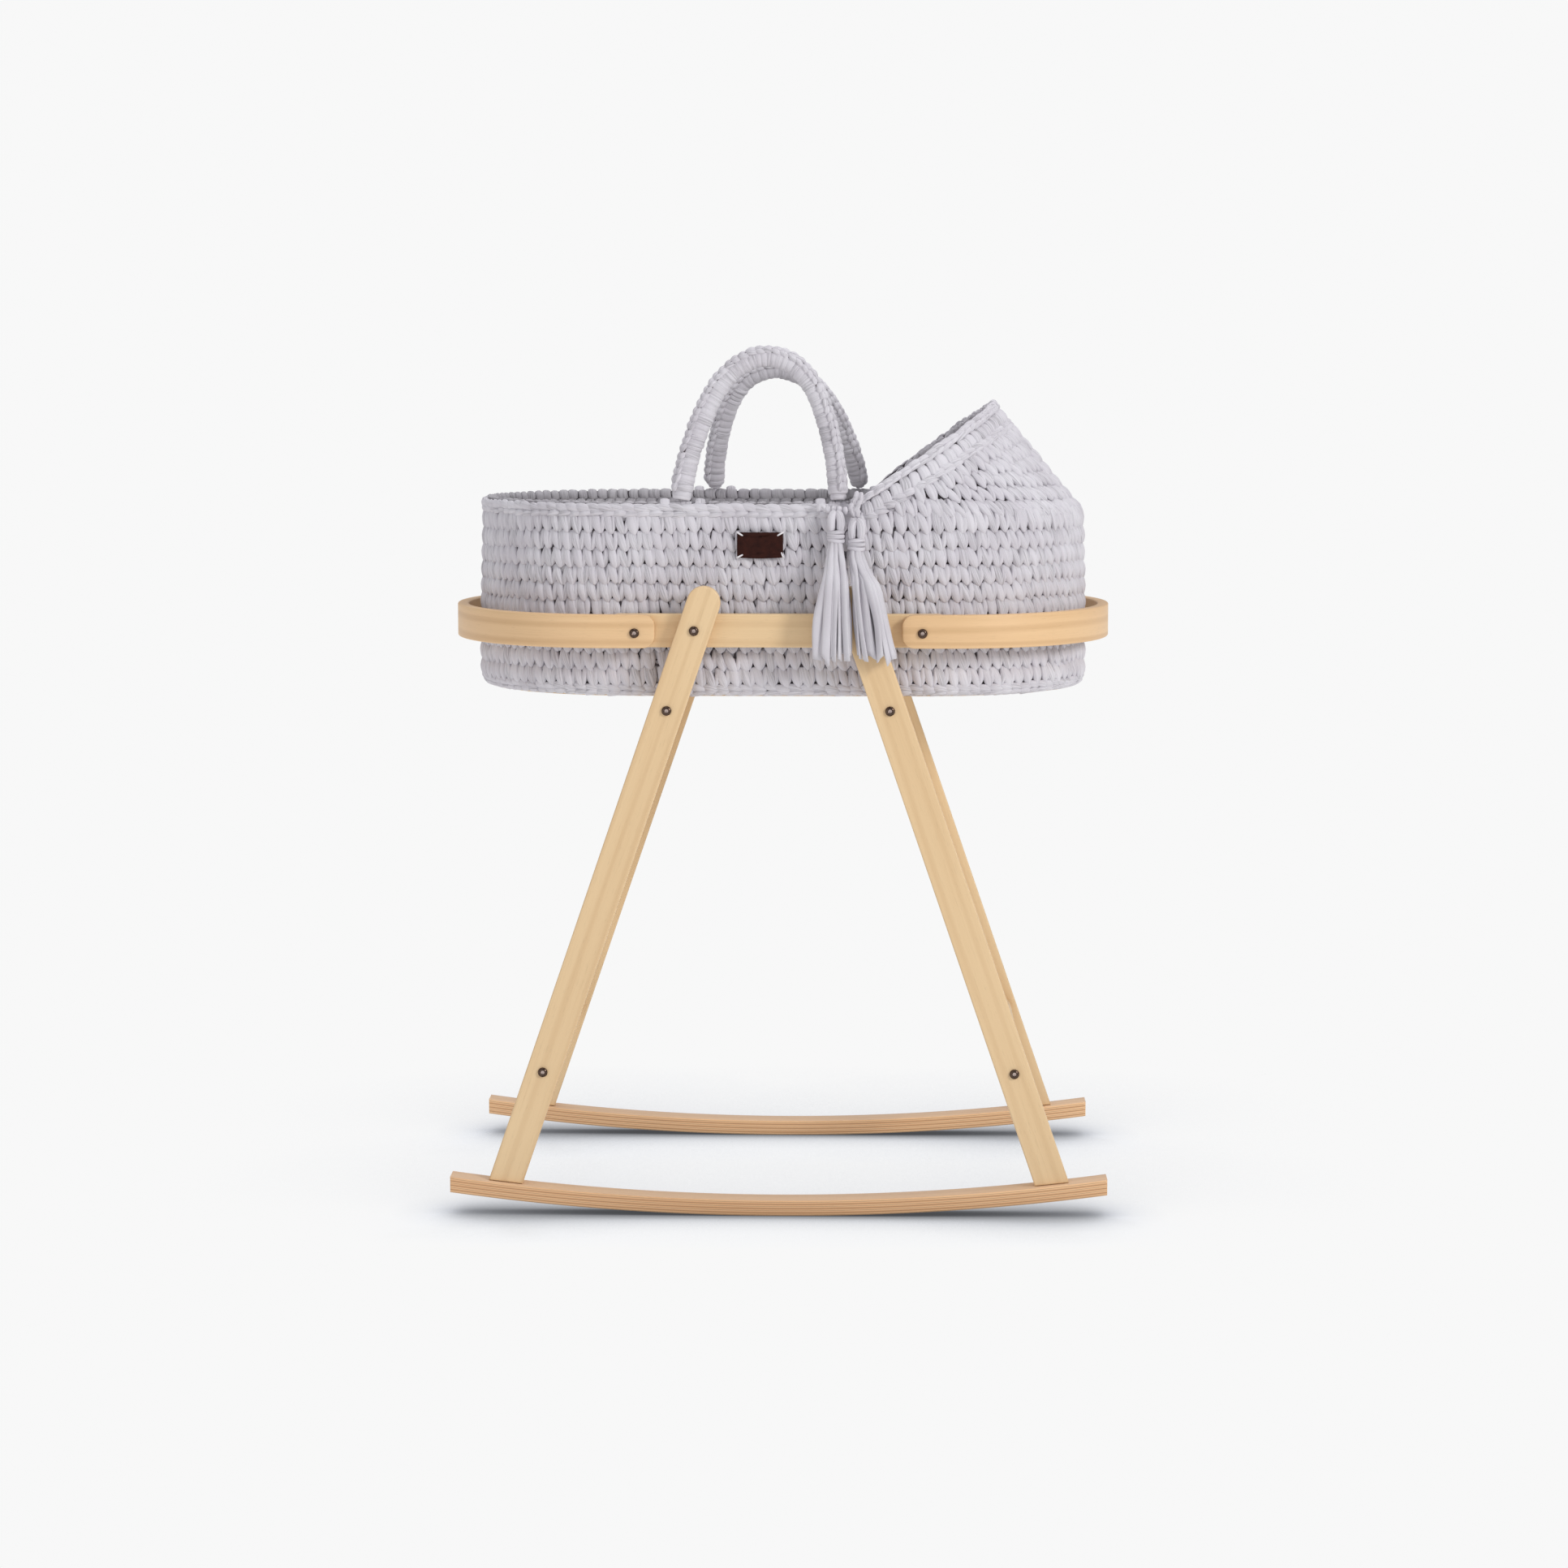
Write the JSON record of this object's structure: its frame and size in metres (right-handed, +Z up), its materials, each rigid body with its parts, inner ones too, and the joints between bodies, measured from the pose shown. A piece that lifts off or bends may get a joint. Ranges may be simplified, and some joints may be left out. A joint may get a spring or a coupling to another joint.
{
  "type": "bassinet on stand",
  "caption": "Oval crocheted bassinet basket with a hood, arched carry handles and tassels, held in a bent-wood hoop on a rocking A-frame stand.",
  "frame": {"origin": "on the floor under the middle of the object's bounding box", "axes": "+Z up; +X towards the head end with the hood; -Y towards the side that the tassels hang on"},
  "size_m": [0.809, 0.537, 1.0422],
  "materials": {
    "birch": "satin clear lacquer on birch plywood and dowel",
    "birch_ply": "satin clear lacquer, glued plies showing on the edges",
    "yarn": "matte cotton jersey yarn",
    "leather": "satin",
    "bronze_bolt": "bronze plated",
    "zinc": "zinc plated",
    "cotton": "matte woven cotton",
    "cord": "matte twisted cotton rope"
  },
  "bodies": {
    "stand": {"leg_front_left": "birch", "leg_front_right": "birch", "leg_rear_left": "birch", "leg_rear_right": "birch", "rail_front": "birch", "rail_rear": "birch", "bow_foot": "birch", "bow_head": "birch", "crossbar_upper_left": "birch", "crossbar_upper_right": "birch", "crossbar_lower_left": "birch", "crossbar_lower_right": "birch", "rocker_front": "birch_ply", "rocker_rear": "birch_ply", "leg_rail_bolt_front_left": "bronze_bolt", "leg_rail_bolt_front_right": "bronze_bolt", "leg_rail_bolt_rear_left": "bronze_bolt", "leg_rail_bolt_rear_right": "bronze_bolt", "bow_bolt_front_left": "bronze_bolt", "bow_bolt_front_right": "bronze_bolt", "bow_bolt_rear_left": "bronze_bolt", "bow_bolt_rear_right": "bronze_bolt", "upper_crossbar_bolt_front_left": "bronze_bolt", "upper_crossbar_bolt_front_right": "bronze_bolt", "upper_crossbar_bolt_rear_left": "bronze_bolt", "upper_crossbar_bolt_rear_right": "bronze_bolt", "lower_crossbar_bolt_front_left": "bronze_bolt", "lower_crossbar_bolt_front_right": "bronze_bolt", "lower_crossbar_bolt_rear_left": "bronze_bolt", "lower_crossbar_bolt_rear_right": "bronze_bolt", "leg_rail_insert_front_left": "zinc", "leg_rail_insert_front_right": "zinc", "leg_rail_insert_rear_left": "zinc", "leg_rail_insert_rear_right": "zinc", "bow_insert_front_left": "zinc", "bow_insert_front_right": "zinc", "bow_insert_rear_left": "zinc", "bow_insert_rear_right": "zinc", "rocker_screw_front_left": "zinc", "rocker_screw_front_right": "zinc", "rocker_screw_rear_left": "zinc", "rocker_screw_rear_right": "zinc"},
    "basket": {"base_board": "birch_ply", "basket_wall": "yarn", "rim_braid": "yarn", "hood_shell": "yarn", "hood_edge_band": "yarn", "leather_tag": "leather", "tassel_tie": "yarn"},
    "mattress": {"mattress": "cotton"},
    "handle_front": {"handle_front_wrap": "yarn", "handle_front_core": "cord"},
    "handle_rear": {"handle_rear_wrap": "yarn", "handle_rear_core": "cord"},
    "tassel_left": {"tassel_left_head": "yarn", "tassel_left_binding": "yarn", "tassel_left_skirt": "yarn"},
    "tassel_right": {"tassel_right_head": "yarn", "tassel_right_binding": "yarn", "tassel_right_skirt": "yarn"}
  },
  "joints": [
    {"name": "basket_lift", "type": "slide", "parent": "stand", "child": "basket", "axis": [0, 0, 1], "range_m": [0, 0.3]},
    {"name": "mattress_lift", "type": "slide", "parent": "basket", "child": "mattress", "axis": [0, 0, 1], "range_m": [0, 0.14]},
    {"name": "handle_front_swing", "type": "hinge", "parent": "basket", "child": "handle_front", "pos_m": [0, -0.186, 0.8694], "axis": [1, 0, 0], "range_deg": [-68, 85]},
    {"name": "handle_rear_swing", "type": "hinge", "parent": "basket", "child": "handle_rear", "pos_m": [0, 0.207, 0.8694], "axis": [-1, 0, 0], "range_deg": [-55, 98]},
    {"name": "tassel_left_swing", "type": "hinge", "parent": "basket", "child": "tassel_left", "pos_m": [0.068, -0.213, 0.844], "axis": [-1, 0, 0], "range_deg": [0, 60]},
    {"name": "tassel_right_swing", "type": "hinge", "parent": "basket", "child": "tassel_right", "pos_m": [0.0923, -0.213, 0.8345], "axis": [-1, 0, 0], "range_deg": [0, 60]}
  ]
}
